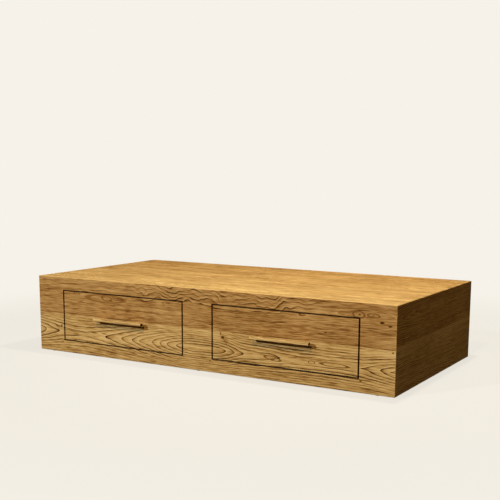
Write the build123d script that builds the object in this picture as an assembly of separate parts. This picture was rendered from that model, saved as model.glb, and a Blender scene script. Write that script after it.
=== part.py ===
from build123d import *
import os

# Platform bed: a mitred hardwood box with two inset drawers on telescoping slides.
# Millimetres. X runs along the bed, the drawers open towards -Y, Z is up and the floor is Z = 0.
# The origin is under the middle of the whole bed, handles included.

# Overall size of the box, floor to deck
bed_length = 2032.0
bed_depth = 1016.0
bed_height = 400.0

# Box walls and what stands inside them
panel_thickness = 22.0
arris = 1.2
stile_width = 170.0
top_rail = 66.5
bottom_rail = 63.5
partition_thickness = 18.0
cleat_height = 30.0
cleat_depth = 24.0
corner_block_leg = 32.0
corner_block_lift = 12.0
glide_height = 3.0
glide_radius = 8.0

# Drawers
drawer_count = 2
drawer_gap = 3.0
box_bottom_room = 18.0
box_top_room = 24.0
board_thickness = 15.0
bottom_thickness = 9.0
bottom_lift = 12.0
groove_depth = 7.0
panel_play = 0.3
tail_count = 4
pin_width = 10.0
dovetail_slope = 1 / 7

# Bar pulls
bar_length = 305.0
bar_height = 13.0
bar_thickness = 19.0
bar_edge = 1.5
post_length = 19.0
post_width = 20.0
post_height = 10.0
post_spacing = 224.0

# Telescoping slides: a channel on the partition, a middle channel and a channel on the drawer
slide_length = 690.0
slide_setback = 5.0
slide_thickness = 12.7
slide_height = 45.0
slide_steel = 1.2
ball_gap = 4.3
web_gap = 1.4
lip_setback = 3.7
middle_lip_setback = 2.3
cage_strip = 0.6
cage_play = 0.3
cage_length = 300.0
cage_setback = 200.0
ball_row = 4.4

# Screws and dowels: radius under the head, radius and height of the head
screw_play = 0.15
driver_square = 3.0
slide_screw_radius = 2.0
slide_screw_head = 3.8
slide_screw_sink = 1.9
slide_screw_length = 12.0
slide_screw_count = 3
slide_screw_inset = 60.0
wood_screw_radius = 2.25
wood_screw_head = 4.5
wood_screw_head_height = 3.0
front_screw_bite = 14.0
front_screw_inset = 55.0
cleat_screw_bite = 14.0
cleat_screw_inset = 150.0
handle_screw_radius = 2.0
handle_screw_head = 4.5
handle_screw_head_height = 2.6
handle_screw_bite = 7.0
dowel_radius = 4.0
dowel_bite = 14.0
dowel_partition_bite = 26.0
dowel_count = 3
dowel_inset = 50.0

# Planes and limits that follow from the sizes above
handle_projection = post_length + bar_thickness
back_y = (bed_depth + handle_projection) / 2
front_y = back_y - bed_depth
end_x = bed_length / 2
inner_x = end_x - panel_thickness
inner_front_y = front_y + panel_thickness
inner_back_y = back_y - panel_thickness
inner_top = bed_height - panel_thickness
window_width = (bed_length - (drawer_count + 1) * stile_width) / drawer_count
window_bottom = glide_height + bottom_rail
window_top = bed_height - top_rail
stile_centres = [
    -end_x + stile_width / 2 + number * (stile_width + window_width)
    for number in range(drawer_count + 1)
]
window_starts = [centre + stile_width / 2 for centre in stile_centres[:-1]]
front_bottom = window_bottom + drawer_gap
front_top = window_top - drawer_gap
handle_z = (front_bottom + front_top) / 2
box_bottom = window_bottom + box_bottom_room
box_top = window_top - box_top_room
box_front_y = inner_front_y
box_back_y = box_front_y + slide_length + 2 * slide_setback
slide_front_y = box_front_y + slide_setback
slide_z = (box_bottom + box_top) / 2
slide_screw_ys = [
    slide_front_y
    + slide_screw_inset
    + number * (slide_length - 2 * slide_screw_inset) / (slide_screw_count - 1)
    for number in range(slide_screw_count)
]


def block(x_limits, y_limits, z_limits):
    """A box between three pairs of limits, in any order."""
    low, high = zip(*(sorted(pair) for pair in (x_limits, y_limits, z_limits)))
    size = [b - a for a, b in zip(low, high)]
    middle = [(a + b) / 2 for a, b in zip(low, high)]
    return Pos(*middle) * Box(*size)


def prism(points, direction, length):
    """A flat outline pushed along a direction."""
    return extrude(make_face(Polyline(*points, close=True)), amount=length, dir=direction)


def frustum(first_points, second_points):
    """The solid between two rectangles on parallel planes."""
    outlines = [make_face(Polyline(*points, close=True)) for points in (first_points, second_points)]
    return loft(outlines, ruled=True)


def rod(radius, start, direction, length):
    """A round bar from a start point along a direction."""
    seat = Plane(origin=start, z_dir=direction)
    return seat * Pos(0, 0, length / 2) * Cylinder(radius, length)


def pan_screw(radius, head_radius, head_height, seat_point, direction, length):
    """A pan-head screw whose head sits on seat_point and whose shank points along direction."""
    seat = Plane(origin=seat_point, z_dir=direction)
    head = Pos(0, 0, -head_height / 2) * Cylinder(head_radius, head_height)
    recess = Pos(0, 0, -head_height) * Box(driver_square, driver_square, head_height)
    shank = Pos(0, 0, length / 2) * Cylinder(radius, length)
    return seat * (head - recess + shank)


def sunk_screw(point, direction, play=0.0):
    """A countersunk screw, flush at point. With play it is the hole that the screw goes in."""
    seat = Plane(origin=point, z_dir=direction)
    sink = Pos(0, 0, slide_screw_sink / 2) * Cone(
        slide_screw_head + play, slide_screw_radius + play, slide_screw_sink
    )
    shank_length = slide_screw_length - slide_screw_sink + play
    shank = Pos(0, 0, slide_screw_sink + shank_length / 2) * Cylinder(slide_screw_radius + play, shank_length)
    return seat * (sink + shank)


# Box of mitred walls

def rectangle_xy(x, y_low, y_high, z):
    return [(-x, y_low, z), (x, y_low, z), (x, y_high, z), (-x, y_high, z)]


def rectangle_xz(x, z_high, y):
    return [(-x, y, glide_height), (x, y, glide_height), (x, y, z_high), (-x, y, z_high)]


def rectangle_yz(y_low, y_high, z_high, x):
    return [(x, y_low, glide_height), (x, y_high, glide_height), (x, y_high, z_high), (x, y_low, z_high)]


envelope = block((-end_x, end_x), (front_y, back_y), (glide_height, bed_height))
envelope = chamfer(envelope.edges(), arris)


def window_cutter(start_x):
    """The hole for one drawer front, with broken edges on the show face."""
    end = start_x + window_width
    hole = block((start_x, end), (front_y - arris, inner_front_y + arris), (window_bottom, window_top))
    flare = []
    for grow, y in ((arris, front_y), (0, front_y + arris)):
        low_x, high_x = start_x - grow, end + grow
        low_z, high_z = window_bottom - grow, window_top + grow
        flare.append([(low_x, y, low_z), (high_x, y, low_z), (high_x, y, high_z), (low_x, y, high_z)])
    return hole + frustum(*flare)


top_panel = envelope & frustum(
    rectangle_xy(end_x, front_y, back_y, bed_height),
    rectangle_xy(inner_x, inner_front_y, inner_back_y, inner_top),
)
front_panel = envelope & frustum(
    rectangle_xz(end_x, bed_height, front_y), rectangle_xz(inner_x, inner_top, inner_front_y)
)
back_panel = envelope & frustum(
    rectangle_xz(end_x, bed_height, back_y), rectangle_xz(inner_x, inner_top, inner_back_y)
)
left_side_panel, right_side_panel = [
    envelope
    & frustum(
        rectangle_yz(front_y, back_y, bed_height, side * end_x),
        rectangle_yz(inner_front_y, inner_back_y, inner_top, side * inner_x),
    )
    for side in (-1, 1)
]
for start_x in window_starts:
    front_panel -= window_cutter(start_x)

# Cleats under the deck, screwed up into it

cleat_bottom = inner_top - cleat_height
cleat_limits = {
    "front_cleat": (inner_front_y, inner_front_y + cleat_depth),
    "back_cleat": (inner_back_y - cleat_depth, inner_back_y),
}
cleat_screw_xs = list(stile_centres)
for start_x in window_starts:
    cleat_screw_xs += [start_x + cleat_screw_inset, start_x + window_width - cleat_screw_inset]

cleats = {}
cleat_screws = []
for name, y_limits in cleat_limits.items():
    cleat = block((-inner_x, inner_x), y_limits, (cleat_bottom, inner_top))
    for x in cleat_screw_xs:
        seat = (x, sum(y_limits) / 2, cleat_bottom)
        length = cleat_height + cleat_screw_bite
        hole = rod(wood_screw_radius + screw_play, seat, (0, 0, 1), length + screw_play)
        cleat -= hole
        top_panel -= hole
        cleat_screws.append(
            pan_screw(wood_screw_radius, wood_screw_head, wood_screw_head_height, seat, (0, 0, 1), length)
        )
    cleats[name] = cleat

# Blocks glued into the upright mitres

corner_blocks = {}
for x_name, side in (("left", -1), ("right", 1)):
    for y_name, corner_y, inward in (("front", inner_front_y, 1), ("back", inner_back_y, -1)):
        low_z = glide_height + corner_block_lift
        corner = (side * inner_x, corner_y, low_z)
        along_x = (side * (inner_x - corner_block_leg), corner_y, low_z)
        along_y = (side * inner_x, corner_y + inward * corner_block_leg, low_z)
        outline = [corner, along_x, along_y]
        height = cleat_bottom - corner_block_lift - low_z
        corner_blocks[f"corner_block_{y_name}_{x_name}"] = prism(outline, (0, 0, 1), height)

# Glides under the walls

wall_middle = panel_thickness / 2
middle_y = (front_y + back_y) / 2
glide_places = [(x, y) for x in stile_centres for y in (front_y + wall_middle, back_y - wall_middle)]
glide_places += [(side * (end_x - wall_middle), middle_y) for side in (-1, 1)]
floor_glides = [rod(glide_radius, (x, y, 0), (0, 0, 1), glide_height) for x, y in glide_places]

# Partitions beside the drawers, dowelled between the front and back walls

dowel_low = glide_height + dowel_inset
dowel_step = (cleat_bottom - dowel_inset - dowel_low) / (dowel_count - 1)
partitions = {}
partition_dowels = []
for number, start_x in enumerate(window_starts, 1):
    faces = (("left", start_x, -1), ("right", start_x + window_width, 1))
    for side_name, face_x, outward in faces:
        middle_x = face_x + outward * partition_thickness / 2
        partition = block(
            (face_x, face_x + outward * partition_thickness),
            (inner_front_y, inner_back_y),
            (glide_height, inner_top),
        )
        for y_limits in cleat_limits.values():
            partition -= block((-inner_x, inner_x), y_limits, (cleat_bottom, inner_top))
        for step in range(dowel_count):
            z = dowel_low + step * dowel_step
            for wall_y, inward in ((inner_front_y, 1), (inner_back_y, -1)):
                start = (middle_x, wall_y - inward * dowel_bite, z)
                length = dowel_bite + dowel_partition_bite
                hole_start = (middle_x, wall_y - inward * (dowel_bite + screw_play), z)
                hole = rod(dowel_radius + screw_play, hole_start, (0, inward, 0), length + 2 * screw_play)
                partition -= hole
                if inward > 0:
                    front_panel -= hole
                else:
                    back_panel -= hole
                partition_dowels.append(rod(dowel_radius, start, (0, inward, 0), length))
        partitions[f"partition_{number}_{side_name}"] = partition

parts = {
    "top_panel": top_panel,
    "front_panel": front_panel,
    "back_panel": back_panel,
    "left_side_panel": left_side_panel,
    "right_side_panel": right_side_panel,
    **cleats,
    "cleat_screws": Compound(cleat_screws),
    **corner_blocks,
    "floor_glides": Compound(floor_glides),
    "partition_dowels": Compound(partition_dowels),
}


# Slides. Distances across a slide run from the partition's face towards the drawer.

def channel(face_x, inward, web, lips, half_height):
    """A channel of sheet steel: an upright web and two level lips, along the whole slide."""
    y_limits = (slide_front_y, slide_front_y + slide_length)
    inside = half_height - slide_steel
    web_x = [face_x + inward * distance for distance in web]
    lip_x = [face_x + inward * distance for distance in lips]
    section = block(web_x, y_limits, (slide_z - half_height, slide_z + half_height))
    for side in (-1, 1):
        section += block(lip_x, y_limits, (slide_z + side * inside, slide_z + side * half_height))
    return section


def ball_cage(face_x, inward, strip_start, half_height):
    """A thin strip with a row of balls along each edge, each row as a square bar."""
    y_start = slide_front_y + cage_setback
    y_limits = (y_start, y_start + cage_length)
    outside = half_height - cage_play
    inside = half_height - ball_gap + cage_play
    strip_x = [face_x + inward * (strip_start + extra) for extra in (0, cage_strip)]
    row_x = [face_x + inward * (strip_start + extra) for extra in (0, cage_strip + ball_row)]
    cage = block(strip_x, y_limits, (slide_z - outside, slide_z + outside))
    for side in (-1, 1):
        cage += block(row_x, y_limits, (slide_z + side * inside, slide_z + side * outside))
    return cage


cabinet_half = slide_height / 2
middle_half = cabinet_half - slide_steel - ball_gap
drawer_half = middle_half - slide_steel - ball_gap
middle_web = slide_steel + web_gap
drawer_lip = middle_web + slide_steel + web_gap
strip_offset = (web_gap - cage_strip) / 2
cabinet_slide_screws = []


def slide_members(face_x, inward, partition_name):
    """One slide's three channels and two cages, screwed to a partition. Returns them by name."""
    cabinet = channel(face_x, inward, (0, slide_steel), (0, slide_thickness - lip_setback), cabinet_half)
    middle = channel(
        face_x,
        inward,
        (middle_web, middle_web + slide_steel),
        (middle_web, slide_thickness - middle_lip_setback),
        middle_half,
    )
    drawer = channel(
        face_x,
        inward,
        (slide_thickness - slide_steel, slide_thickness),
        (drawer_lip, slide_thickness),
        drawer_half,
    )
    for y in slide_screw_ys:
        point = (face_x + inward * slide_steel, y, slide_z)
        hole = sunk_screw(point, (-inward, 0, 0), screw_play)
        cabinet -= hole
        parts[partition_name] -= hole
        cabinet_slide_screws.append(sunk_screw(point, (-inward, 0, 0)))
    outer_cage = ball_cage(face_x, inward, slide_steel + strip_offset, cabinet_half - slide_steel)
    inner_start = middle_web + slide_steel + strip_offset
    inner_cage = ball_cage(face_x, inward, inner_start, middle_half - slide_steel)
    return cabinet, middle, drawer, outer_cage, inner_cage


# Drawer boxes

def dovetail_pins(x_limits, end_y, inward):
    """The pins of one corner: wedges that narrow towards the end of the side board."""
    pins = []
    pitch = (box_top - box_bottom) / tail_count
    for number in range(tail_count + 1):
        centre = box_bottom + number * pitch
        narrow = pin_width / 2
        wide = narrow + board_thickness * dovetail_slope
        outline = []
        for half, y in ((narrow, end_y), (wide, end_y + inward * board_thickness)):
            low = max(box_bottom, centre - half)
            high = min(box_top, centre + half)
            outline += [(x_limits[0], y, low), (x_limits[0], y, high)]
        outline = [outline[0], outline[2], outline[3], outline[1]]
        pins.append(prism(outline, (1, 0, 0), x_limits[1] - x_limits[0]))
    return pins


def make_drawer(number, start_x):
    """All pieces of one drawer, added to the parts by name."""
    name = f"drawer_{number}"
    end = start_x + window_width
    low_x, high_x = start_x + slide_thickness, end - slide_thickness
    inner_low, inner_high = low_x + board_thickness, high_x - board_thickness
    inner_y = box_front_y + board_thickness
    inner_end_y = box_back_y - board_thickness
    heights = (box_bottom, box_top)
    centre_x = (start_x + end) / 2

    # Show front, cut from the same boards as the wall around it
    show_front = block(
        (start_x + drawer_gap, end - drawer_gap), (front_y, inner_front_y), (front_bottom, front_top)
    )
    show_front = chamfer(show_front.faces().sort_by(Axis.Y)[0].edges(), arris)

    # Dovetailed box
    left = block((low_x, inner_low), (box_front_y, box_back_y), heights)
    right = block((inner_high, high_x), (box_front_y, box_back_y), heights)
    front = block((inner_low, inner_high), (box_front_y, inner_y), heights)
    back = block((inner_low, inner_high), (inner_end_y, box_back_y), heights)
    for pin in dovetail_pins((low_x, inner_low), box_front_y, 1):
        left -= pin
        front += pin
    for pin in dovetail_pins((inner_high, high_x), box_front_y, 1):
        right -= pin
        front += pin
    for pin in dovetail_pins((low_x, inner_low), box_back_y, -1):
        left -= pin
        back += pin
    for pin in dovetail_pins((inner_high, high_x), box_back_y, -1):
        right -= pin
        back += pin

    # Bottom panel, loose in a groove around the box
    bottom_z = box_bottom + bottom_lift
    groove = block(
        (inner_low - groove_depth, inner_high + groove_depth),
        (inner_y - groove_depth, inner_end_y + groove_depth),
        (bottom_z, bottom_z + bottom_thickness + panel_play),
    )
    reach = groove_depth - panel_play
    bottom = block(
        (inner_low - reach, inner_high + reach),
        (inner_y - reach, inner_end_y + reach),
        (bottom_z, bottom_z + bottom_thickness),
    )
    left, right, front, back = [board - groove for board in (left, right, front, back)]

    # Screws from inside the box into the show front
    front_screws = []
    floor_z = bottom_z + bottom_thickness
    for x in (inner_low + front_screw_inset, inner_high - front_screw_inset):
        for z in (floor_z + front_screw_inset, box_top - front_screw_inset):
            seat = (x, inner_y, z)
            length = board_thickness + front_screw_bite
            hole = rod(wood_screw_radius + screw_play, seat, (0, -1, 0), length + screw_play)
            front -= hole
            show_front -= hole
            front_screws.append(
                pan_screw(wood_screw_radius, wood_screw_head, wood_screw_head_height, seat, (0, -1, 0), length)
            )

    # Bar pull on two posts, held by screws through the box and the show front
    bar_back_y = front_y - post_length
    bar_z = (handle_z - bar_height / 2, handle_z + bar_height / 2)
    bar = block(
        (centre_x - bar_length / 2, centre_x + bar_length / 2), (bar_back_y - bar_thickness, bar_back_y), bar_z
    )
    bar = chamfer(bar.edges(), bar_edge)
    handle_screws = []
    for side_name, side in (("left", -1), ("right", 1)):
        post_x = centre_x + side * post_spacing / 2
        post = block(
            (post_x - post_width / 2, post_x + post_width / 2),
            (bar_back_y, front_y),
            (handle_z - post_height / 2, handle_z + post_height / 2),
        )
        seat = (post_x, inner_y, handle_z)
        length = board_thickness + panel_thickness + post_length + handle_screw_bite
        hole = rod(handle_screw_radius + screw_play, seat, (0, -1, 0), length + screw_play)
        front -= hole
        show_front -= hole
        bar -= hole
        parts[f"{name}_handle_{side_name}_post"] = post - hole
        handle_screws.append(
            pan_screw(
                handle_screw_radius, handle_screw_head, handle_screw_head_height, seat, (0, -1, 0), length
            )
        )

    # Slides, with the screws that hold the drawer members to the box sides
    slide_screws = []
    outer_cages = []
    inner_cages = []
    boxes = {"left": left, "right": right}
    for side_name, face_x, inward in (("left", start_x, 1), ("right", end, -1)):
        cabinet, middle, drawer, outer_cage, inner_cage = slide_members(
            face_x, inward, f"partition_{number}_{side_name}"
        )
        for y in slide_screw_ys:
            point = (face_x + inward * (slide_thickness - slide_steel), y, slide_z)
            hole = sunk_screw(point, (inward, 0, 0), screw_play)
            drawer -= hole
            boxes[side_name] -= hole
            slide_screws.append(sunk_screw(point, (inward, 0, 0)))
        parts[f"{name}_{side_name}_cabinet_member"] = cabinet
        parts[f"{name}_{side_name}_middle_member"] = middle
        parts[f"{name}_{side_name}_drawer_member"] = drawer
        outer_cages.append(outer_cage)
        inner_cages.append(inner_cage)

    parts[f"{name}_front"] = show_front
    parts[f"{name}_box_front"] = front
    parts[f"{name}_box_left"] = boxes["left"]
    parts[f"{name}_box_right"] = boxes["right"]
    parts[f"{name}_box_back"] = back
    parts[f"{name}_box_bottom"] = bottom
    parts[f"{name}_front_screws"] = Compound(front_screws)
    parts[f"{name}_handle_bar"] = bar
    parts[f"{name}_handle_screws"] = Compound(handle_screws)
    parts[f"{name}_slide_screws"] = Compound(slide_screws)
    parts[f"{name}_outer_cages"] = Compound(outer_cages)
    parts[f"{name}_inner_cages"] = Compound(inner_cages)


parts.update(partitions)
for number, start_x in enumerate(window_starts, 1):
    make_drawer(number, start_x)
parts["cabinet_slide_screws"] = Compound(cabinet_slide_screws)

os.makedirs("parts", exist_ok=True)
for name, shape in parts.items():
    export_step(shape, f"parts/{name}.step")
print(len(parts), "nodes")
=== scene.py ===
# %% [markdown]
# # A platform bed with two drawers
# The bed is a low box of oiled cherry boards. Its two drawer fronts were sawn out of the same
# panel as the wall around them, so one figure of grain runs from end to end. The frame already
# holds every piece at its real size and in its place. This lesson gives each piece the finish of
# its real material, and adds the few small shapes that only the eye needs.

# %% Load the frame
import math

import bmesh
import bpy
from mathutils import Matrix, Vector


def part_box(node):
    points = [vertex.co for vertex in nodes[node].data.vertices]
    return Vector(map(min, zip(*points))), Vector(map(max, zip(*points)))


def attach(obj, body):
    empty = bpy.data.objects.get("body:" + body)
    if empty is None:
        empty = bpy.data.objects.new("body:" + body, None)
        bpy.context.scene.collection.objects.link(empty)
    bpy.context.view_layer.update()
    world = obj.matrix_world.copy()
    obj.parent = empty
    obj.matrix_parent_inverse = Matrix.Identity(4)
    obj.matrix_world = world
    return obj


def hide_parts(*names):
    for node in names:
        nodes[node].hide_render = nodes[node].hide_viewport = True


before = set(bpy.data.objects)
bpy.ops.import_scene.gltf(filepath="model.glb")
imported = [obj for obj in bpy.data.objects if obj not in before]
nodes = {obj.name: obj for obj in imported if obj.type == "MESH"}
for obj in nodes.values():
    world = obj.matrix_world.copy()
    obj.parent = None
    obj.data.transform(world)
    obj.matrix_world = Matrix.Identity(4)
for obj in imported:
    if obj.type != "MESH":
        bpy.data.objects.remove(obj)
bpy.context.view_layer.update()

scene = bpy.context.scene

# %% [markdown]
# ## Three helpers
# Colours are written the way a colour picker shows them, and shaders work in linear light, so one
# function translates. The second adds a node, sets its properties, fills or links its inputs and
# hands back one output. With it, a recipe reads from top to bottom like the steps at a bench. The
# third starts a new material with nothing in it.

# %% Colours and nodes


def linear(hex_colour):
    """An sRGB hex colour as linear red, green, blue and alpha."""
    channels = [int(hex_colour[start:start + 2], 16) / 255 for start in (1, 3, 5)]
    return [c / 12.92 if c <= 0.04045 else ((c + 0.055) / 1.055) ** 2.4 for c in channels] + [1.0]


def add(tree, kind, inputs=(), output=0, **settings):
    """Adds one node and returns one of its outputs. Inputs are values or other nodes' outputs."""
    made = tree.nodes.new(kind)
    for name, value in settings.items():
        setattr(made, name, value)
    for key, value in dict(inputs).items():
        if isinstance(value, bpy.types.NodeSocket):
            tree.links.new(value, made.inputs[key])
        else:
            made.inputs[key].default_value = value
    return made.outputs[output] if len(made.outputs) else None


def new_material(name):
    """A material with an empty node tree, and that tree."""
    material = bpy.data.materials.new(name)
    material.use_nodes = True
    material.node_tree.nodes.clear()
    return material, material.node_tree


print("brown in linear light:", [round(c, 3) for c in linear("#8a5a2b")])

# %% [markdown]
# ## Camera
# The photo was taken from the front right, a little above the bed, with a lens that is slightly
# longer than the eye's view. Place, direction and focal length were fitted to the corners of the
# bed and of its drawers. The photo is a crop, so the lens centre sits below the picture's middle,
# and the shift makes up for that.

# %% Camera
CAMERA_PLACE = Vector((2.3905, -3.9999, 0.9584))
CAMERA_FORWARD = Vector((-0.5049, 0.8462, -0.1702)).normalized()
CAMERA_RIGHT = Vector((0.8584, 0.5130, 0.0041)).normalized()
FOCAL_PIXELS = 897.74
PICTURE_PIXELS = 500
LENS_CENTRE_DROP = 75

camera_data = bpy.data.cameras.new("camera")
camera_data.lens = FOCAL_PIXELS / PICTURE_PIXELS * camera_data.sensor_width
camera_data.shift_y = LENS_CENTRE_DROP / PICTURE_PIXELS
camera = bpy.data.objects.new("camera", camera_data)
scene.collection.objects.link(camera)
camera_up = CAMERA_RIGHT.cross(CAMERA_FORWARD)
turn = Matrix((CAMERA_RIGHT, camera_up, -CAMERA_FORWARD)).transposed()
camera.matrix_world = Matrix.Translation(CAMERA_PLACE) @ turn.to_4x4()
scene.camera = camera
print("lens:", round(camera_data.lens, 1), "mm, distance:", round(CAMERA_PLACE.length, 2), "m")

# %% [markdown]
# ## Paper all around
# The bed stands on warm white paper. Rays from the camera, and mirror rays, see that paper at its
# own colour, so the background is even. Other rays find a dim room, because the right side of the
# bed is in deep shade. Close to the bed the paper takes a share of real shadow, which fades out
# with the distance from the bed's middle.

# %% World and floor
PAPER = "#f6f2e9"
ROOM = "#ffe0b4"
ROOM_STRENGTH = 0.025
SHADOW_SHARE = 0.2
SHADOW_FULL_TO = 1.4
SHADOW_GONE_AT = 3.2
FLOOR_REACH = 30
scene.view_settings.view_transform = "Standard"


def paper_rays(tree):
    """1 for rays that show the paper: from the camera, mirrored or through glass."""
    path = add(tree, "ShaderNodeLightPath").node.outputs
    seen = path["Is Camera Ray"]
    for kind in ("Is Glossy Ray", "Is Transmission Ray"):
        seen = add(tree, "ShaderNodeMath", {0: seen, 1: path[kind]}, operation="MAXIMUM")
    return seen


world = bpy.data.worlds.new("studio")
scene.world = world
world.use_nodes = True
tree = world.node_tree
tree.nodes.clear()
room = add(tree, "ShaderNodeBackground", {"Color": linear(ROOM), "Strength": ROOM_STRENGTH})
paper = add(tree, "ShaderNodeBackground", {"Color": linear(PAPER)})
both = add(tree, "ShaderNodeMixShader", {0: paper_rays(tree), 1: room, 2: paper})
add(tree, "ShaderNodeOutputWorld", {"Surface": both})

# Matt paper: one even tone, with a faint soft shadow.
floor_material, tree = new_material("studio_paper")
point = add(tree, "ShaderNodeTexCoord", output="Object")
away = add(tree, "ShaderNodeVectorMath", {0: point}, output="Value", operation="LENGTH")
shadow_share = add(tree, "ShaderNodeMapRange",
                   {"Value": away, "From Min": SHADOW_FULL_TO, "From Max": SHADOW_GONE_AT,
                    "To Min": SHADOW_SHARE, "To Max": 0.0}, interpolation_type="SMOOTHSTEP")
glow = add(tree, "ShaderNodeEmission", {"Color": linear(PAPER)})
matt = add(tree, "ShaderNodeBsdfDiffuse", {"Color": linear("#d2cfc7")})
dim = add(tree, "ShaderNodeBsdfDiffuse", {"Color": linear("#3f382e")})
near = add(tree, "ShaderNodeMixShader", {0: shadow_share, 1: glow, 2: matt})
surface = add(tree, "ShaderNodeMixShader", {0: paper_rays(tree), 1: dim, 2: near})
add(tree, "ShaderNodeOutputMaterial", {"Surface": surface})

floor_mesh = bpy.data.meshes.new("floor")
form = bmesh.new()
bmesh.ops.create_grid(form, x_segments=1, y_segments=1, size=FLOOR_REACH)
form.to_mesh(floor_mesh)
form.free()
floor_mesh.materials.append(floor_material)
floor = bpy.data.objects.new("floor", floor_mesh)
scene.collection.objects.link(floor)
print("floor:", floor.dimensions.x, "m wide")

# %% [markdown]
# ## Five lights
# The shadows of the pulls tell where the light came from. A thin black line lies right under each
# bar, with a soft olive band below it. One light stands low at the left and makes the upper
# shadow, a warmer one at half height in front makes the lower one, and both are blocked where the
# line is black. A third light hangs above the bed, a little behind its front, so that it brightens
# the top and the bed's own top edge keeps it off the pulls. The right side is in shade, so its
# light is weak. The last one stands behind the bed and shows the back, which the photo never sees.

# %% Lights
LIGHTS_AIM = Vector((0, 0, 0.25))
# Name, place and width in metres, power in watts, colour
LIGHTS = [
    ("low_left_light", (-7.4, -14.3, 7.4), 0.3, 1911, "#f5f8ff"),
    ("front_light", (1.3, -7.1, 7.1), 0.35, 417, "#ffe1b2"),
    ("top_light", (0.75, 0.1, 3.1), 0.2, 67, "#fff8ef"),
    ("right_light", (4.6, 0.9, 1.4), 1.2, 13, "#ffdfb8"),
    ("back_light", (-0.6, 5.2, 2.2), 1.0, 70, "#ffe9c8"),
]
for name, place, width, power, colour in LIGHTS:
    lamp = bpy.data.lights.new(name, "AREA")
    lamp.size = width
    lamp.energy = power
    lamp.color = linear(colour)[:3]
    soft_box = bpy.data.objects.new(name, lamp)
    scene.collection.objects.link(soft_box)
    soft_box.location = place
    aim = LIGHTS_AIM - Vector(place)
    soft_box.rotation_euler = aim.to_track_quat("-Z", "Y").to_euler()
    print(name, "stands", round(aim.length, 1), "m away")

# %% [markdown]
# ## Places in a board
# Wood is solid, so its pattern is made in three directions: along the board, across it and into
# it. A texture built on these three stays right on every face: long lines on the show side, close
# lines on an edge and rings on a sawn end. All lengths are real millimetres, and the frame tells
# where the faces of the panels are.

# %% Board space


def millimetres(node):
    """The lowest and the highest corner of a node, in millimetres."""
    return [[round(1000 * value, 1) for value in corner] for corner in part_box(node)]


FRONT_FACE = -millimetres("front_panel")[0][1]
BACK_FACE = millimetres("back_panel")[1][1]
PULL_FACE = -millimetres("drawer_1_handle_bar")[0][1]
SIDE_FACE = millimetres("right_side_panel")[1][0]
TOP_FACE = millimetres("top_panel")[1][2]
BED_LENGTH = 2 * SIDE_FACE
BED_DEPTH = FRONT_FACE + BACK_FACE
NOISE_MIDDLE = 0.5


def board_space(tree, axes, face):
    """Millimetres along a board, across it and in from its face, for axes such as XZY."""
    point = add(tree, "ShaderNodeTexCoord", output="Object")
    split = add(tree, "ShaderNodeSeparateXYZ", {0: point}).node.outputs
    along, across, into = [add(tree, "ShaderNodeMath", {0: split[axis], 1: 1000.0}, operation="MULTIPLY")
                           for axis in axes]
    into = add(tree, "ShaderNodeMath", {0: into}, operation="ABSOLUTE")
    return along, across, add(tree, "ShaderNodeMath", {0: float(face), 1: into}, operation="SUBTRACT")


def grain_noise(tree, space, length, width, detail, output=0):
    """Noise drawn out along the board: its spots are about length by width millimetres."""
    point = add(tree, "ShaderNodeCombineXYZ", dict(enumerate(space)))
    scaled = add(tree, "ShaderNodeVectorMath", {0: point, 1: (1 / length, 1 / width, 1 / width)},
                 operation="MULTIPLY")
    return add(tree, "ShaderNodeTexNoise", {"Vector": scaled, "Scale": 1.0, "Detail": detail}, output=output)


print("bed in mm:", BED_LENGTH, "long,", BED_DEPTH, "deep,", TOP_FACE, "high")

# %% [markdown]
# ## Rulers and curves
# Three more helpers say where something lies on a board. One is the distance from a line, one the distance
# from an oval spot, and one a curve along the bed, drawn through a few given points.
# With these, what the eye notices on a real board can be put in its place.

# %% Rulers and curves


def apart(tree, value, place):
    """How far a value is from a place, on either side."""
    off = add(tree, "ShaderNodeMath", {0: value, 1: place}, operation="SUBTRACT")
    return add(tree, "ShaderNodeMath", {0: off}, operation="ABSOLUTE")


def from_spot(tree, point, place, half_size, tilt=0.0):
    """Distance from the middle of an oval spot: 0 there and 1 on its rim."""
    spot = add(tree, "ShaderNodeMapping",
               {"Vector": point, "Location": (*place, 0.0), "Rotation": (0.0, 0.0, math.radians(tilt)),
                "Scale": (*half_size, 1.0)}, vector_type="TEXTURE")
    return add(tree, "ShaderNodeVectorMath", {0: spot}, output="Value", operation="LENGTH")


def curve_along(tree, along, points, top):
    """A smooth curve from one end of the bed to the other, through (place, height) points up to top."""
    place = add(tree, "ShaderNodeMath", {0: along, 1: 1 / BED_LENGTH, 2: 0.5}, operation="MULTIPLY_ADD")
    value = add(tree, "ShaderNodeFloatCurve", {"Value": place})
    mapping = value.node.mapping
    handles = mapping.curves[0].points
    for handle, (x, height) in zip(handles, (points[0], points[-1])):
        handle.location = (x / BED_LENGTH, height / top)
    for x, height in points[1:-1]:
        handles.new(x / BED_LENGTH, height / top)
    mapping.update()
    return add(tree, "ShaderNodeMath", {0: value, 1: top}, operation="MULTIPLY")


print("the middle of the bed is at", BED_LENGTH / 2, "mm on a curve")

# %% [markdown]
# ## Year rings
# A tree adds a ring each year: pale wood in spring, a thin dark line in late summer, then a sharp
# step to the next spring. A board is a slice through these tubes. Where the slice runs along a
# tube it shows long lines, and where the tube dips out of the board it shows the pointed flames
# that joiners call cathedrals. So the line on the face is found from the distance to the pith,
# the middle of the trunk, which runs somewhere below the face.

# %% Year rings
# A power below 1 gives the flames their pointed tips, and the scale keeps their width.
TIP_POWER = 0.82
TIP_SCALE = 2.07
# Lines are thin in the middle of a flame and wider on its flanks.
FLAME_SHARP = 7.0
FLANK_FROM = 0.6
FAINTEST_YEAR = 0.45
SPRING_POWER = 4.0
SPRING_PALENESS = -0.35
# Keeps the years of neighbouring boards apart when chance is asked about each year.
BOARD_KEY = 31.7


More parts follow.
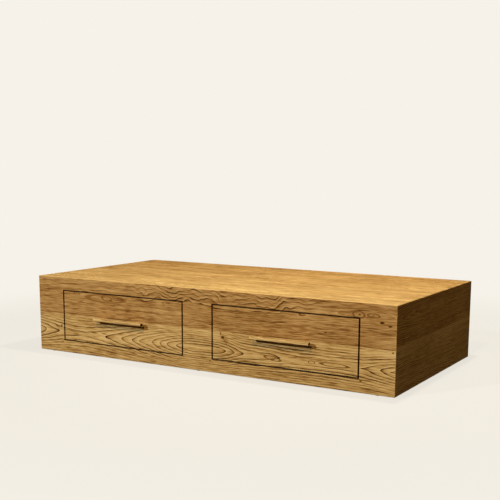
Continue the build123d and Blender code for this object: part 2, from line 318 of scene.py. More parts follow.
def year_lines(tree, space, board, figure):
    """Late-summer lines: up to 1 on the line, a little below 0 in the pale spring wood after it."""
    _, across, into = space
    drift = grain_noise(tree, space, *figure["drift"], detail=2.0, output=1)
    drift = add(tree, "ShaderNodeVectorMath", {0: drift, 1: (NOISE_MIDDLE,) * 3}, operation="SUBTRACT")
    drift = add(tree, "ShaderNodeVectorMath", {0: drift, "Scale": figure["wander"]}, operation="SCALE")
    side = apart(tree, across, figure["centre"])
    side = add(tree, "ShaderNodeMath", {0: side, 1: TIP_POWER}, operation="POWER")
    side = add(tree, "ShaderNodeMath", {0: side, 1: TIP_SCALE}, operation="MULTIPLY")
    deep = add(tree, "ShaderNodeMath", {0: into, 1: figure["deep"]}, operation="ADD")
    place = add(tree, "ShaderNodeCombineXYZ", {0: side, 1: deep})
    place = add(tree, "ShaderNodeVectorMath", {0: place, 1: drift}, operation="ADD")
    place = add(tree, "ShaderNodeVectorMath", {0: place, 1: (1.0, 1.0, 0.0)}, operation="MULTIPLY")
    radius = add(tree, "ShaderNodeVectorMath", {0: place}, output="Value", operation="LENGTH")
    curl = grain_noise(tree, space, length=125, width=150, detail=2.0)
    curl = add(tree, "ShaderNodeMath", {0: curl, 1: NOISE_MIDDLE}, operation="SUBTRACT")
    radius = add(tree, "ShaderNodeMath", {0: curl, 1: figure["swirl"], 2: radius}, operation="MULTIPLY_ADD")
    years = add(tree, "ShaderNodeMath", {0: radius, 1: figure["ring"]}, operation="DIVIDE")
    year = add(tree, "ShaderNodeMath", {0: years}, operation="FLOOR")
    season = add(tree, "ShaderNodeMath", {0: years}, operation="FRACT")
    key = add(tree, "ShaderNodeMath", {0: board, 1: BOARD_KEY, 2: year}, operation="MULTIPLY_ADD")
    chance = add(tree, "ShaderNodeTexWhiteNoise", {"W": key}, noise_dimensions="1D")
    strength = add(tree, "ShaderNodeMapRange", {"Value": chance, "To Min": FAINTEST_YEAR, "To Max": 1.0})
    flank = add(tree, "ShaderNodeMath", {0: side, 1: radius}, operation="DIVIDE")
    sharp = add(tree, "ShaderNodeMapRange", {"Value": flank, "From Max": FLANK_FROM, "To Min": FLAME_SHARP,
                                             "To Max": figure["flank_sharp"]})
    late = add(tree, "ShaderNodeMath", {0: season, 1: sharp}, operation="POWER")
    early = add(tree, "ShaderNodeMath", {0: 1.0, 1: season}, operation="SUBTRACT")
    early = add(tree, "ShaderNodeMath", {0: early, 1: SPRING_POWER}, operation="POWER")
    line = add(tree, "ShaderNodeMath", {0: early, 1: SPRING_PALENESS, 2: late}, operation="MULTIPLY_ADD")
    strength = add(tree, "ShaderNodeMath", {0: strength, 1: figure["bold"]}, operation="MULTIPLY")
    return add(tree, "ShaderNodeMath", {0: line, 1: strength}, operation="MULTIPLY")


print("a thin year line takes", round(1 - 0.5 ** (1 / FLAME_SHARP), 2), "of its ring at half strength")

# %% [markdown]
# ## Boards off the rack
# Most panels are glued up from boards off the rack, so each board gets its own pith, tone and place along the
# trunk by chance, and its pith rises and sinks slowly along it. Two panels get a little more. The top gets
# painted shade that darkens it board by board from the front to the back, and a painted highlight along its
# front edge, and the right side has two boards, the lower one palest just under the seam.

# %% Figures by chance
RACK_RING = 6.1
RACK_FLANK_SHARP = 3.0
SWELL_LENGTH = 620.0
SWELL_HEIGHT = 130.0
SWELL_START = -25.0
TOP_BOARDS = 7
# Width and strength of the painted highlight along the top's front edge
PAINTED_HIGHLIGHT_WIDTH = 36.0
PAINTED_HIGHLIGHT_TONE = -2.2
SIDE_SEAM = 219.0
SIDE_PALE_FROM = 130.0
SIDE_PALE_TONE = -2.4


def rack_figure(tree, space, board, chance, start, width):
    """Chance figure for a glued-up panel. The pith rises and sinks slowly along each board."""
    middle = add(tree, "ShaderNodeMath", {0: board, 1: chance[0]}, operation="ADD")
    centre = add(tree, "ShaderNodeMath", {0: middle, 1: width, 2: start}, operation="MULTIPLY_ADD")
    place = add(tree, "ShaderNodeMath", {0: space[0], 1: 1 / SWELL_LENGTH}, operation="MULTIPLY")
    wave = add(tree, "ShaderNodeTexNoise", {"W": place, "Scale": 1.0, "Detail": 1.0}, noise_dimensions="1D")
    deep = add(tree, "ShaderNodeMath", {0: wave, 1: SWELL_HEIGHT, 2: SWELL_START}, operation="MULTIPLY_ADD")
    return {"centre": centre, "deep": deep, "ring": RACK_RING, "flank_sharp": RACK_FLANK_SHARP,
            "wander": 10.0, "drift": (230, 60), "swirl": 0.0, "bold": 1.0, "dull": 0.0, "tone": chance[2],
            "painted_gap_shade": 0.0}


def top_figure(tree, space, board, chance, start, width):
    """Painted shade that darkens the boards from the front to the back, and a painted highlight along the
    front edge.
    """
    figure = rack_figure(tree, space, board, chance, start, width)
    # Painted highlight: the front edge of the top is lightened.
    figure["dull"] = add(tree, "ShaderNodeMapRange",
                         {"Value": space[1], "From Min": start, "From Max": start + PAINTED_HIGHLIGHT_WIDTH,
                          "To Min": PAINTED_HIGHLIGHT_TONE, "To Max": 0.0})
    # Painted shade: the boards darken one by one towards the back.
    figure["tone"] = add(tree, "ShaderNodeMath", {0: board, 1: TOP_BOARDS - 1.0}, operation="DIVIDE")
    return figure


def side_figure(tree, space, board, chance, start, width):
    """The side's two boards: the upper one darker, the lower one palest just under the seam."""
    figure = rack_figure(tree, space, board, chance, start, width)
    under_seam = add(tree, "ShaderNodeMapRange", {"Value": space[1], "From Min": SIDE_PALE_FROM,
                                                  "From Max": SIDE_SEAM, "To Max": SIDE_PALE_TONE})
    lower = add(tree, "ShaderNodeMath", {0: 1.0, 1: board}, operation="SUBTRACT")
    figure["dull"] = add(tree, "ShaderNodeMath", {0: under_seam, 1: lower}, operation="MULTIPLY")
    figure["tone"] = board
    return figure


print("boards in the top:", TOP_BOARDS, "of", round(BED_DEPTH / TOP_BOARDS, 1), "mm")

# %% [markdown]
# ## The front's own boards
# The front is different, because its two boards can be seen in the photo. Their pith is drawn as a depth in
# rings, so that the flames, the long oval at the middle and the narrow loops lie where the real ones lie. In
# the top rail the rings swirl. A few stretches of these boards are paler or darker than the rest.

# %% Figure of the front
VALUE_A, VALUE_B = 2, 3
FRONT_SEAM = 206.0
PITH_HEIGHT = 113.0
UPPER_RING = 14.0
UPPER_FLANK_SHARP = 5.5
# Places along the bed from its left end, each with the rings between the face and the pith
LOWER_RINGS = [(0, 14.3), (52, 15), (130, 16), (200, 16.5), (300, 16.7), (375, 16.4), (432, 16), (545, 15),
               (627, 14), (672, 13), (738, 12), (785, 11), (830, 10), (888, 9), (930, 8.4), (1040, 8.1),
               (1145, 8.4), (1187, 9), (1226, 10), (1280, 11), (1350, 11.3), (1440, 11.75), (1475, 12),
               (1560, 12.3), (1700, 12.4), (1810, 12.3), (1885, 12), (1960, 11), (2032, 9.9)]
UPPER_RINGS = [(0, 4.0), (250, 3.5), (340, 3.0), (450, 2.6), (560, 3.0), (700, 3.5), (1000, 3.3),
               (1300, 3.5), (1500, 3.3), (1700, 3.1), (1860, 2.6), (1930, 2.6), (2032, 3.1)]
MOST_RINGS = 20.0
# Height of the upper board's pith, and how far its rings swirl in the top rail
UPPER_CENTRE = [(0, 290), (270, 305), (580, 310), (900, 300), (1400, 296), (1800, 350), (2032, 345)]
HIGHEST_CENTRE = 500.0
SWIRL = [(0, 10), (560, 20), (720, 95), (1100, 95), (1250, 60), (1420, 80), (1620, 40), (1730, 8), (2032, 8)]
MOST_SWIRL = 100.0
RAIL_FROM = 285.0
RAIL_FULL = 350.0
# How bold the year lines are, plain and more with each millimetre of swirl
PLAIN_BOLD = 0.42
SWIRL_BOLD = 0.013
FLAMES_FULL_TO = 40.0
FLAMES_END = 75.0
# Tone along the bed, and the darker strip near the floor
DEEPER_TONE = [(0, 0.5), (200, 0.1), (800, 0.0), (1016, 0.25), (1250, 0.7), (1700, 0.7), (1900, 0.1),
               (2032, 0.0)]
FLOOR_STRIP = 30.0
FLOOR_STRIP_END = 90.0
# Board, place along the bed, height, half length, half height and tone: below 0 it is paler
STRETCHES = [
    # The third row, darker above the left pull, is partly the board's tone and partly painted shade from that
    # pull.
    (1, 480, 375, 440, 60, -0.9), (1, 1450, 375, 290, 60, -1.2), (1, 550, 212, 180, 80, 1.1),
    (1, 1640, 212, 280, 80, 1.2), (0, 0, 202, 480, 46, 1.5), (0, 1150, 202, 250, 46, -1.5),
    (0, 2032, 202, 420, 46, -2.4), (0, 480, 137, 220, 46, -1.4), (0, 1290, 137, 190, 46, 1.0),
]


def front_boldness(tree, space, board, swirl):
    """How bold the year lines are: most in the swirls, in patches, and near the lower board's pith."""
    upper = add(tree, "ShaderNodeMath", {0: swirl, 1: SWIRL_BOLD, 2: PLAIN_BOLD}, operation="MULTIPLY_ADD")
    patches = grain_noise(tree, space, length=110, width=36, detail=0.0)
    patches = add(tree, "ShaderNodeMapRange", {"Value": patches, "From Min": 0.35, "From Max": 0.62,
                                               "To Min": 0.4, "To Max": 1.2})
    upper = add(tree, "ShaderNodeMath", {0: upper, 1: patches}, operation="MULTIPLY")
    from_pith = apart(tree, space[1], PITH_HEIGHT)
    lower = add(tree, "ShaderNodeMapRange", {"Value": from_pith, "From Min": FLAMES_FULL_TO,
                                             "From Max": FLAMES_END, "To Min": 1.15, "To Max": 0.45})
    return add(tree, "ShaderNodeMix", {0: board, VALUE_A: lower, VALUE_B: upper})


def front_tone(tree, along, across, board):
    """Darker near the floor and at some places along the bed, with stretches that fade to an oval rim."""
    near_floor = add(tree, "ShaderNodeMapRange", {"Value": across, "From Min": FLOOR_STRIP_END,
                                                  "From Max": FLOOR_STRIP})
    deeper = curve_along(tree, along, DEEPER_TONE, top=1.0)
    total = add(tree, "ShaderNodeMath", {0: near_floor, 1: deeper}, operation="ADD")
    point = add(tree, "ShaderNodeCombineXYZ", {0: along, 1: across})
    for owner, x, height, half_length, half_height, tone in STRETCHES:
        reach = from_spot(tree, point, (x - BED_LENGTH / 2, height), (half_length, half_height))
        share = add(tree, "ShaderNodeMapRange", {"Value": reach, "From Min": 1.0, "From Max": 0.2,
                                                 "To Max": tone}, interpolation_type="SMOOTHSTEP")
        same = add(tree, "ShaderNodeMath", {0: board, 1: float(owner), 2: 0.5}, operation="COMPARE")
        total = add(tree, "ShaderNodeMath", {0: share, 1: same, 2: total}, operation="MULTIPLY_ADD")
    return total


print("front seam at", FRONT_SEAM, "mm, pith of the lower board at", PITH_HEIGHT, "mm")

# %% [markdown]
# ## Dark lines around the drawers
# A gap of 3 mm would be a thin line from where the photo was taken, and the real lines are bolder.
# So the wood just beside each gap carries painted shade, a few millimetres deep, as dark as the inside of a
# deep gap. Its place comes from the drawer front in the frame, and both drawers are alike, so one counts for
# both.

# %% Painted shade beside the gaps
GAP = 3.0
# The colour of the painted shade beside the gaps, and how far it reaches.
PAINTED_GAP_SHADE = "#36211b"
PAINTED_SHADE_BESIDE_UPRIGHT = 4.2
PAINTED_SHADE_BESIDE_LEVEL = 3.3
PAINTED_SHADE_DEPTH = 4.0
(start, _, bottom), (end, _, top) = millimetres("drawer_2_front")
DRAWER_CENTRE_X = (start + end) / 2
DRAWER_CENTRE_Z = (bottom + top) / 2
GAP_BESIDE = (end - start + GAP) / 2
GAP_ABOVE = (top - bottom + GAP) / 2


def painted_gap_shade_mask(tree, space):
    """1 where painted shade lies on the wood beside the gaps around both drawer fronts, 0 elsewhere."""
    along, across, into = space
    sideways = add(tree, "ShaderNodeMath", {0: along}, operation="ABSOLUTE")
    from_middle = apart(tree, sideways, DRAWER_CENTRE_X)
    from_half = apart(tree, across, DRAWER_CENTRE_Z)
    gaps = []
    for this, gap_at, reach, other, other_gap in (
            (from_middle, GAP_BESIDE, PAINTED_SHADE_BESIDE_UPRIGHT, from_half, GAP_ABOVE),
            (from_half, GAP_ABOVE, PAINTED_SHADE_BESIDE_LEVEL, from_middle, GAP_BESIDE)):
        beside = add(tree, "ShaderNodeMath", {0: this, 1: gap_at, 2: reach}, operation="COMPARE")
        within = add(tree, "ShaderNodeMath", {0: other, 1: other_gap + GAP}, operation="LESS_THAN")
        gaps.append(add(tree, "ShaderNodeMath", {0: beside, 1: within}, operation="MULTIPLY"))
    around = add(tree, "ShaderNodeMath", dict(enumerate(gaps)), operation="MAXIMUM")
    shallow = add(tree, "ShaderNodeMath", {0: into, 1: PAINTED_SHADE_DEPTH}, operation="LESS_THAN")
    return add(tree, "ShaderNodeMath", {0: around, 1: shallow}, operation="MULTIPLY")


def front_figure(tree, space, board, *_):
    """The front's own figure, drawn after the photo. Board 0 is the lower one, board 1 the upper."""
    along, across, _ = space
    low = curve_along(tree, along, LOWER_RINGS, top=MOST_RINGS)
    high = curve_along(tree, along, UPPER_RINGS, top=MOST_RINGS)
    high_centre = curve_along(tree, along, UPPER_CENTRE, top=HIGHEST_CENTRE)
    pairs = {"centre": (PITH_HEIGHT, high_centre), "deep": (low, high), "ring": (RACK_RING, UPPER_RING),
             "flank_sharp": (RACK_FLANK_SHARP, UPPER_FLANK_SHARP)}
    figure = {name: add(tree, "ShaderNodeMix", {0: board, VALUE_A: lower, VALUE_B: upper})
              for name, (lower, upper) in pairs.items()}
    figure["deep"] = add(tree, "ShaderNodeMath", {0: figure["deep"], 1: figure["ring"]}, operation="MULTIPLY")
    rail = add(tree, "ShaderNodeMapRange", {"Value": across, "From Min": RAIL_FROM, "From Max": RAIL_FULL})
    swirl = curve_along(tree, along, SWIRL, top=MOST_SWIRL)
    figure["swirl"] = add(tree, "ShaderNodeMath", {0: swirl, 1: rail}, operation="MULTIPLY")
    figure["bold"] = front_boldness(tree, space, board, figure["swirl"])
    figure["dull"] = front_tone(tree, along, across, board)
    # Painted shade beside the gaps around the drawer fronts.
    figure["painted_gap_shade"] = painted_gap_shade_mask(tree, space)
    figure.update({"tone": board, "wander": 5.0, "drift": (120, 36)})
    return figure


print("gaps stand", GAP_BESIDE, "and", GAP_ABOVE, "mm from the middle of a drawer")

# %% [markdown]
# ## Oiled wood
# One recipe serves every wood in the bed. It adds up what darkens a board: year lines, fine pores, streaks,
# clouds, the glue seam, the odd knot, and on some panels painted shade and a painted highlight. The sum picks
# a colour from pale spring wood to dark gum, and makes the surface a little rougher where it is dark. Lines,
# pores and streaks also lie a little lower than the wood around them.

# %% What darkens a board
GLUE_LINE = 0.5
KNOT_RIM = 1.1
LOOP_RIM = 0.3
RIM_FADE = 0.3


def blend(tree, signals):
    """A sum of signals, each written as (signal, weight, the value that counts as none)."""
    total = 0.0
    for signal, weight, none in signals:
        lifted = add(tree, "ShaderNodeMath", {0: signal, 1: weight, 2: -weight * none},
                     operation="MULTIPLY_ADD")
        total = add(tree, "ShaderNodeMath", {0: lifted, 1: total}, operation="ADD")
    return total


def wood_signals(tree, space, board, count, width, rings):
    """What darkens a board. The first three also make its grooves."""
    lines = year_lines(tree, space, board, rings)
    # Real pores are about 0.1 mm wide. These are drawn as wide as they must be to show at all.
    pores = grain_noise(tree, space, length=50, width=1.6, detail=3.0)
    streaks = grain_noise(tree, space, length=62, width=5, detail=4.0)
    bands = grain_noise(tree, space, length=380, width=14, detail=2.0)
    clouds = grain_noise(tree, space, length=260, width=90, detail=1.0)
    flecks = grain_noise(tree, space, length=26, width=1.5, detail=0.0)
    flecks = add(tree, "ShaderNodeMapRange", {"Value": flecks, "From Min": 0.74, "From Max": 0.8})
    # A tight joint shows no line, so only every other seam has one.
    edge = add(tree, "ShaderNodeMath", {0: count, 1: 1.0}, operation="PINGPONG")
    seam = add(tree, "ShaderNodeMath", {0: edge, 1: GLUE_LINE / width}, operation="LESS_THAN")
    return [(lines, 1.0, 0.05), (pores, 0.9, NOISE_MIDDLE), (streaks, 1.4, NOISE_MIDDLE),
            (bands, 0.8, NOISE_MIDDLE), (clouds, 0.5, NOISE_MIDDLE), (flecks, 0.3, 0.0), (seam, 0.25, 0.0),
            (rings["tone"], 0.1, 0.5), (rings["dull"], 0.1, 0.0)]


def add_marks(tree, space, shade, marks):
    """Knots, gum streaks and thin loops, each with its place, half size, tilt, darkness and kind."""
    point = add(tree, "ShaderNodeCombineXYZ", {0: space[0], 1: space[1]})
    darkest = 0.0
    for along, across, half_length, half_height, tilt, dark, is_loop in marks:
        reach = from_spot(tree, point, (along, across), (half_length, half_height), tilt)
        rim = KNOT_RIM
        if is_loop:
            reach = apart(tree, reach, 1.0)
            rim = LOOP_RIM
        mark = add(tree, "ShaderNodeMapRange", {"Value": reach, "From Min": rim, "From Max": RIM_FADE * rim,
                                                "To Max": dark}, interpolation_type="SMOOTHSTEP")
        darkest = add(tree, "ShaderNodeMath", {0: mark, 1: darkest}, operation="MAXIMUM")
    return add(tree, "ShaderNodeMath", {0: shade, 1: darkest}, operation="MAXIMUM")


print("a glue line is", 2 * GLUE_LINE, "mm wide")

# %% [markdown]
# ## From dark and pale to a finish
# A colour ramp turns the sum into the colour of the wood. Boards differ in tone, so a tint is laid over it;
# on the top this tint is painted shade that grows towards the back. The painted shade beside the gaps is one
# more tint. Each board starts at its own place along a long trunk, so that no two of them look the same.
# Plywood has thin layers in its edges.

# %% Wood recipe
MIX_A, MIX_B, MIX_OUT = 6, 7, 2
UNTINTED = "#ffffff"
MIDDLE_STOPS = (0.35, 0.65)
TRUNK_LENGTH = 5000.0
GROOVED = 3
GROOVE_DEPTH = 0.00015


def wood_colour(tree, shade, rings, colours, tint):
    """The colour of the wood for each shade from 0 to 1, tinted by board and darkened by painted shade beside
    the gaps.
    """
    colour = add(tree, "ShaderNodeValToRGB", {0: shade})
    stops = colour.node.color_ramp.elements
    stops[0].color, stops[1].color = linear(colours[0]), linear(colours[-1])
    for position, hex_colour in zip(MIDDLE_STOPS, colours[1:-1]):
        stops.new(position).color = linear(hex_colour)
    cover = add(tree, "ShaderNodeMix", {0: rings["tone"], MIX_A: linear(UNTINTED), MIX_B: linear(tint)},
                output=MIX_OUT, data_type="RGBA")
    # Painted shade beside the gaps darkens the colour here.
    cover = add(tree, "ShaderNodeMix", {0: rings["painted_gap_shade"], MIX_A: cover, MIX_B: linear(PAINTED_GAP_SHADE)},
                output=MIX_OUT, data_type="RGBA")
    return add(tree, "ShaderNodeMix", {0: 1.0, MIX_A: colour, MIX_B: cover}, output=MIX_OUT,
               data_type="RGBA", blend_type="MULTIPLY")


def wood(name, axes, face, width, colours, base, contrast, tint=UNTINTED, start=0.0, figure=rack_figure,
         seed=0.0, ply=None, marks=(), sheen=0.015):
    """A wood glued up from boards of one width, counted across the grain from start."""
    material, tree = new_material(name)
    along, across, into = board_space(tree, axes, face)
    count = add(tree, "ShaderNodeMath", {0: across, 1: 1 / width, 2: -start / width},
                operation="MULTIPLY_ADD")
    board = add(tree, "ShaderNodeMath", {0: count}, operation="FLOOR")
    key = add(tree, "ShaderNodeMath", {0: board, 1: seed}, operation="ADD")
    chances = add(tree, "ShaderNodeTexWhiteNoise", {"W": key}, output="Color", noise_dimensions="1D")
    chance = add(tree, "ShaderNodeSeparateColor", {0: chances}).node.outputs
    space = [along, across, into]
    if figure is not front_figure:
        space[0] = add(tree, "ShaderNodeMath", {0: chance[1], 1: TRUNK_LENGTH, 2: along},
                       operation="MULTIPLY_ADD")
    rings = figure(tree, space, board, chance, start, width)
    signals = wood_signals(tree, space, board, count, width, rings)
    if ply:
        layer = add(tree, "ShaderNodeMath", {0: into, 1: ply}, operation="DIVIDE")
        layer = add(tree, "ShaderNodeMath", {0: layer, 1: 2.0}, operation="FLOORED_MODULO")
        turned = add(tree, "ShaderNodeMath", {0: layer, 1: 1.0}, operation="GREATER_THAN")
        signals.append((turned, 0.4, 0.5))
    signals = [(signal, weight * contrast, none) for signal, weight, none in signals]
    shade = add(tree, "ShaderNodeMath", {0: blend(tree, signals), 1: base}, operation="ADD")
    shade = add_marks(tree, (along, across), shade, marks)
    colour = wood_colour(tree, shade, rings, colours, tint)
    relief = add(tree, "ShaderNodeBump", {"Height": blend(tree, signals[:GROOVED]), "Strength": 0.4,
                                          "Distance": GROOVE_DEPTH}, invert=True)
    rough = add(tree, "ShaderNodeMapRange", {"Value": shade, "To Min": 0.44, "To Max": 0.6})
    surface = add(tree, "ShaderNodeBsdfPrincipled", {"Base Color": colour, "Roughness": rough,
                                                     "Normal": relief, "Specular IOR Level": sheen})
    add(tree, "ShaderNodeOutputMaterial", {"Surface": surface})
    print(name, "has", len(tree.nodes), "nodes")
    return material


# %% [markdown]
# ## Cherry for everything that shows
# Fresh cherry is pink and oiled cherry turns golden brown in the light. The front's upper board is redder
# than the lower one. The marks are the knots and gum pockets of the real boards, and two thin dark lines of
# painted shade along the seam just above the pulls. The oil has soaked in and leaves no film, so the surface
# hardly mirrors anything.

# %% Marks in the cherry
# Place along the front from its left end, height, half length, half height, tilt and darkness
FRONT_KNOTS = [
    (1174, 170, 44, 26, -45, 0.5), (1162, 179, 15, 12, 0, 0.95), (1150, 196, 6, 12, 20, 0.8),
    (1176, 162, 26, 9, -55, 0.65), (118, 142, 30, 5, -25, 0.95), (151, 142, 8, 7, 30, 0.95),
    (127, 118, 6, 11, -15, 0.75), (372, 125, 34, 4.5, 0, 0.85), (440, 126, 24, 4, -5, 0.8),
    (1860, 348, 9, 5, 0, 0.95), (1925, 348, 9, 4, 0, 0.75), (1965, 321, 17, 8, 5, 1.0),
    (2002, 308, 15, 6, 5, 0.95), (1915, 283, 26, 3.5, -6, 0.8), (1699, 254, 10, 5, 0, 0.95),
    (1098, 236, 28, 4, 3, 1.0), (155, 58, 10, 5, 0, 0.75), (1090, 59, 8, 6, 0, 0.85),
    (1872, 57, 9, 7, 0, 0.85), (2018, 196, 7, 5, 0, 0.85), (2015, 112, 14, 4, 0, 0.85),
    (45, 384, 20, 4, -4, 0.75), (815, 316, 14, 4, 0, 0.75), (1335, 315, 16, 3.5, 3, 0.7),
    (277, 321, 12, 4, -20, 0.8), (660, 320, 22, 4, 4, 0.75), (484, 303, 14, 4, 18, 0.8),
    # The last two are painted shade: thin dark lines just above the pulls, as long as the pulls.
    (438, 306, 10, 4, -25, 0.75), (536, 208.5, 170, 4, 0, 0.85), (1470, 208.5, 170, 4, 0, 0.8),
]
FRONT_LOOPS = [
    (1432, 108, 42, 9, -8, 0.8), (1632, 112, 16, 6, 0, 0.8), (1745, 112, 66, 8, -1, 0.8),
    (1856, 348, 27, 14, -6, 0.75), (1925, 348, 27, 8, -3, 0.75), (452, 308, 118, 19, 0, 0.63),
    (461, 310, 32, 12, -8, 0.68),
]
FRONT_MARKS = [(x - BED_LENGTH / 2, *rest, is_loop)
               for marks, is_loop in ((FRONT_KNOTS, False), (FRONT_LOOPS, True))
               for x, *rest in marks]
SIDE_MARKS = [
    (-259, 345, 26, 7, 0, 0.7, False), (256, 135, 55, 4, 2, 0.7, False), (-60, 36, 14, 4, 0, 0.6, False),
]
print("marks on the front:", len(FRONT_MARKS), "and on the side:", len(SIDE_MARKS))

# %% [markdown]
# ## Cherry, panel by panel
# Every panel has its own boards, so each gets a finish of its own from the same four colours. They
# run from spring wood over the plain tone and the late-summer lines to gum. The axes say which way
# a panel's boards run, which way they are counted, and which way leads into the wood.

# %% Cherry
CHERRY = ("#dfbe7d", "#c29d5e", "#9a7139", "#3e2410")
PULL_BOARD = 400.0

# Planed and oiled cherry: golden brown and matt, with bold flames below and a redder board above.
cherry_front = wood("oiled_cherry_front", "XZY", FRONT_FACE, FRONT_SEAM, CHERRY, base=0.36, contrast=1.0,
                    tint="#ebe0d9", figure=front_figure, marks=FRONT_MARKS)
# The top is rubbed dull by use, and shows no gloss at all.
cherry_top = wood("oiled_cherry_top", "XYZ", TOP_FACE, BED_DEPTH / TOP_BOARDS, CHERRY, base=0.34,
                  contrast=1.0, tint="#f4ece2", start=-FRONT_FACE, figure=top_figure, sheen=0.0)
# The sides are calmer boards with faint lines, and as dull as the top.
cherry_side = wood("oiled_cherry_side", "YZX", SIDE_FACE, SIDE_SEAM, CHERRY, base=0.38, contrast=0.6,
                   tint="#fbf7f1", figure=side_figure, seed=4.0, marks=SIDE_MARKS, sheen=0.0)
cherry_back = wood("oiled_cherry_back", "XZY", BACK_FACE, FRONT_SEAM, CHERRY, base=0.36, contrast=0.9,
                   tint="#f2e6e0", seed=9.0)
# The pulls are cut from one pale, straight board, wider than they are.
cherry_pull = wood("oiled_cherry_pull", "XZY", PULL_FACE, PULL_BOARD, CHERRY, base=0.1, contrast=0.9)
# End grain drinks more oil than a face does, so it is darker, and painted shade takes it almost to black.
cherry_end_grain_and_shade = wood("oiled_cherry_end_grain_and_painted_shade", "XZY", PULL_FACE, PULL_BOARD, CHERRY, base=0.95,
                  contrast=0.2)

# %% [markdown]
# ## Paler woods inside
# Drawer boxes are often maple, hard and almost white. The partitions and drawer bottoms are birch
# plywood, whose edges show thin layers, every other one with its grain turned. Beech makes the
# cleats, corner blocks and dowels. Each of these pieces is one board or one sheet, so the width
# given here is simply more than the piece has, and depth is counted from the bed's middle.

# %% Inside woods
MAPLE = ("#f3e3c6", "#e8d3ae", "#d3b689", "#8f6a42")
BIRCH = ("#f0dcb8", "#e2c698", "#c4a06c", "#7e5a34")
BEECH = ("#ecc9a0", "#dcb286", "#c09062", "#7a5030")
MIDDLE = 0.0
WIDE_BOARD = 400.0
BEECH_BOARD = 500.0
UPRIGHT_SHEET = 700.0
UPRIGHT_SHEET_START = -50.0
UPRIGHT_PLY = 1.385
FLAT_SHEET = 1300.0
FLAT_SHEET_START = -600.0
FLAT_PLY = 1.286

# Planed and lacquered maple: nearly white, with faint lines.
maple_across = wood("drawer_maple_across", "XZY", MIDDLE, WIDE_BOARD, MAPLE, base=0.34, contrast=0.5,
                    tint="#fbf6ee", seed=2.0)
maple_deep = wood("drawer_maple_deep", "YZX", MIDDLE, WIDE_BOARD, MAPLE, base=0.34, contrast=0.5,
                  tint="#fbf6ee", seed=3.0)
# Sanded birch plywood: plain cream faces, and edges striped by its thin layers.
birch_upright = wood("birch_plywood_upright", "YZX", MIDDLE, UPRIGHT_SHEET, BIRCH, base=0.34, contrast=0.6,
                     tint="#f6efe4", start=UPRIGHT_SHEET_START, ply=UPRIGHT_PLY)
birch_flat = wood("birch_plywood_flat", "XYZ", MIDDLE, FLAT_SHEET, BIRCH, base=0.34, contrast=0.6,
                  tint="#f6efe4", start=FLAT_SHEET_START, ply=FLAT_PLY)
# Planed beech without a finish: pinkish and even.
beech = wood("beech", "XZY", MIDDLE, BEECH_BOARD, BEECH, base=0.36, contrast=0.6, tint="#f6ece4", seed=5.0)

# %% [markdown]
# ## Metal and nylon
# The slides are cold-rolled steel with a bright zinc coat, faintly streaked along the rolling. The
# screws have the same coat, a little duller. The floor glides are hard white nylon.

# %% Metal and nylon
ROLLING_SPREAD = 0.08


def plain(name, colour, metallic, roughness):
    """A finish of one colour. Metal gets faint streaks along the bed's depth."""
    material, tree = new_material(name)
    settings = {"Base Color": linear(colour), "Metallic": metallic, "Roughness": roughness}
    if metallic:
        # Rolling lines are finer than a hair. These are drawn coarser, so that they show.
        streaks = grain_noise(tree, board_space(tree, "YZX", 0), length=80, width=1.2, detail=2.0)
        settings["Roughness"] = add(tree, "ShaderNodeMapRange",
                                    {"Value": streaks, "From Min": 0.3, "From Max": 0.7,
                                     "To Min": roughness - ROLLING_SPREAD,
                                     "To Max": roughness + ROLLING_SPREAD})
    surface = add(tree, "ShaderNodeBsdfPrincipled", settings)
    add(tree, "ShaderNodeOutputMaterial", {"Surface": surface})
    print(name, "has a roughness of about", roughness)
    return material


# Rolled and zinc plated: bright, with blurred reflections along the rolling.
slide_steel = plain("zinc_plated_slide_steel", "#b9bcbe", 1.0, 0.34)
screw_steel = plain("zinc_plated_screw_steel", "#a9a69c", 1.0, 0.42)
# Polished balls: small sharp highlights.
ball_steel = plain("polished_ball_steel", "#c9cccf", 1.0, 0.2)
# Moulded nylon: matt and off-white.
glide_nylon = plain("white_nylon", "#d8d2c4", 0.0, 0.5)

# %% [markdown]
# ## Who wears what
# Each piece of the frame gets its finish by name, and where two words fit, the later line counts.
# The drawer fronts share the front panel's material and its coordinates, so the figure runs across
# the gaps without a break.

# %% Dress the frame
FINISHES = [
    (cherry_top, ["top_panel"]),
    (cherry_front, ["front_panel", "drawer_1_front", "drawer_2_front"]),
    (cherry_side, ["side_panel"]),
    (cherry_back, ["back_panel"]),
    (cherry_pull, ["handle_bar", "post"]),
    (maple_across, ["box_front", "box_back"]),
    (maple_deep, ["box_left", "box_right"]),
    (birch_upright, ["partition_1", "partition_2"]),
    (birch_flat, ["box_bottom"]),
    (beech, ["cleat", "corner_block", "dowels"]),
    (slide_steel, ["member", "cages"]),
    (glide_nylon, ["glides"]),
    (screw_steel, ["screws"]),
]
for name, piece in nodes.items():
    finish = [material for material, words in FINISHES if any(word in name for word in words)][-1]
    piece.data.materials.clear()
    piece.data.materials.append(finish)
    print(name, "wears", finish.name)

# %% [markdown]
# ## Pulls with a rounded front
# The bars feel soft to the fingers. On a real bar this is a light pass with a round-over bit along the long
# edges, and only a touch of sandpaper at the ends. The ends show end grain, which is darker than the faces,
# and painted shade makes them almost black. The new bars stand for the squarer ones of the frame.

# %% Rounded bars
FRONT_ROUND = 0.002
BACK_ROUND = 0.0015
END_ROUND = 0.0008
LONG_EDGE = 0.1
SAME_PLACE = 1e-6
END_FACING = 0.9
SOFT_TO = math.radians(40)


def add_block(form, one, other):
    """A box between two opposite corners."""
    middle = [(a + b) / 2 for a, b in zip(one, other)]
    size = [abs(a - b) for a, b in zip(one, other)]
    place = Matrix.Translation(middle) @ Matrix.Diagonal((*size, 1.0))
    bmesh.ops.create_cube(form, size=1.0, matrix=place)


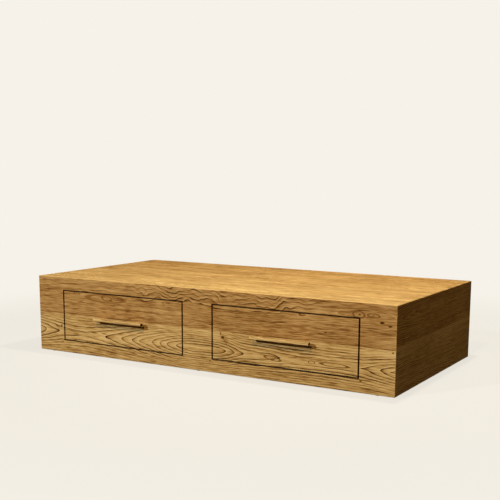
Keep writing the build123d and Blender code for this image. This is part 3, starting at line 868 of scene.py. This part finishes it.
def round_edges(form, edges, radius, segments):
    """Rounds some edges of a form."""
    bmesh.ops.bevel(form, geom=edges, offset=radius, offset_type="OFFSET", affect="EDGES",
                    segments=segments, profile=0.5, material=-1)


def add_piece(name, form, materials, node, body):
    """Turns a form into a piece that stands for a node and moves with its body."""
    bmesh.ops.recalc_face_normals(form, faces=form.faces)
    mesh = bpy.data.meshes.new(name)
    form.to_mesh(mesh)
    form.free()
    for material in materials:
        mesh.materials.append(material)
    mesh.shade_smooth()
    mesh.set_sharp_from_angle(angle=SOFT_TO)
    piece = bpy.data.objects.new(name, mesh)
    scene.collection.objects.link(piece)
    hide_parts(node)
    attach(piece, body)
    print(name, "faces:", len(mesh.polygons))


for drawer in ("drawer_1", "drawer_2"):
    low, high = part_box(f"{drawer}_handle_bar")
    form = bmesh.new()
    add_block(form, low, high)
    for y, radius in ((low.y, FRONT_ROUND), (high.y, BACK_ROUND)):
        edges = [e for e in form.edges
                 if e.calc_length() > LONG_EDGE and all(abs(v.co.y - y) < SAME_PLACE for v in e.verts)]
        round_edges(form, edges, radius, segments=4)
    ends = [e for e in form.edges if len({round(v.co.x, 6) for v in e.verts}) == 1]
    round_edges(form, ends, END_ROUND, segments=2)
    form.normal_update()
    # End faces get the end grain, with its painted shade.
    for face in form.faces:
        face.material_index = int(abs(face.normal.x) > END_FACING)
    add_piece(f"{drawer}_rounded_bar", form, [cherry_pull, cherry_end_grain_and_shade], f"{drawer}_handle_bar", drawer)

# %% [markdown]
# ## Balls in their cages
# Between the channels of a slide run rows of steel balls. A cage, a strip with folded edges, keeps
# them apart. The frame has each row as a square bar, which is enough for weight and touch. Here
# every ball is there: low in faces, because there are hundreds of them.

# %% Ball cages
STRIP = 0.0006
FOLD = 0.0042
BALL_RADIUS = 0.00185
BALL_REACH = 0.0028
BALL_STEP = 0.012
for drawer in ("drawer_1", "drawer_2"):
    for layer in ("outer", "inner"):
        cages = f"{drawer}_{layer}_cages"
        low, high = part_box(cages)
        form = bmesh.new()
        for edge, inward in ((low.x, 1), (high.x, -1)):
            add_block(form, (edge, low.y, low.z), (edge + inward * STRIP, high.y, high.z))
            for row_z, up in ((low.z, 1), (high.z, -1)):
                fold_z = row_z + up * 2 * BALL_RADIUS
                add_block(form, (edge, low.y, fold_z), (edge + inward * FOLD, high.y, fold_z - up * STRIP))
                for step in range(round((high.y - low.y) / BALL_STEP)):
                    place = (edge + inward * BALL_REACH, low.y + (step + 0.5) * BALL_STEP,
                             row_z + up * BALL_RADIUS)
                    ball = bmesh.ops.create_uvsphere(form, u_segments=8, v_segments=6, radius=BALL_RADIUS,
                                                     matrix=Matrix.Translation(place))
                    for face in {face for vertex in ball["verts"] for face in vertex.link_faces}:
                        face.material_index = 1
        add_piece(f"{drawer}_{layer}_ball_cages", form, [slide_steel, ball_steel], cages, cages)
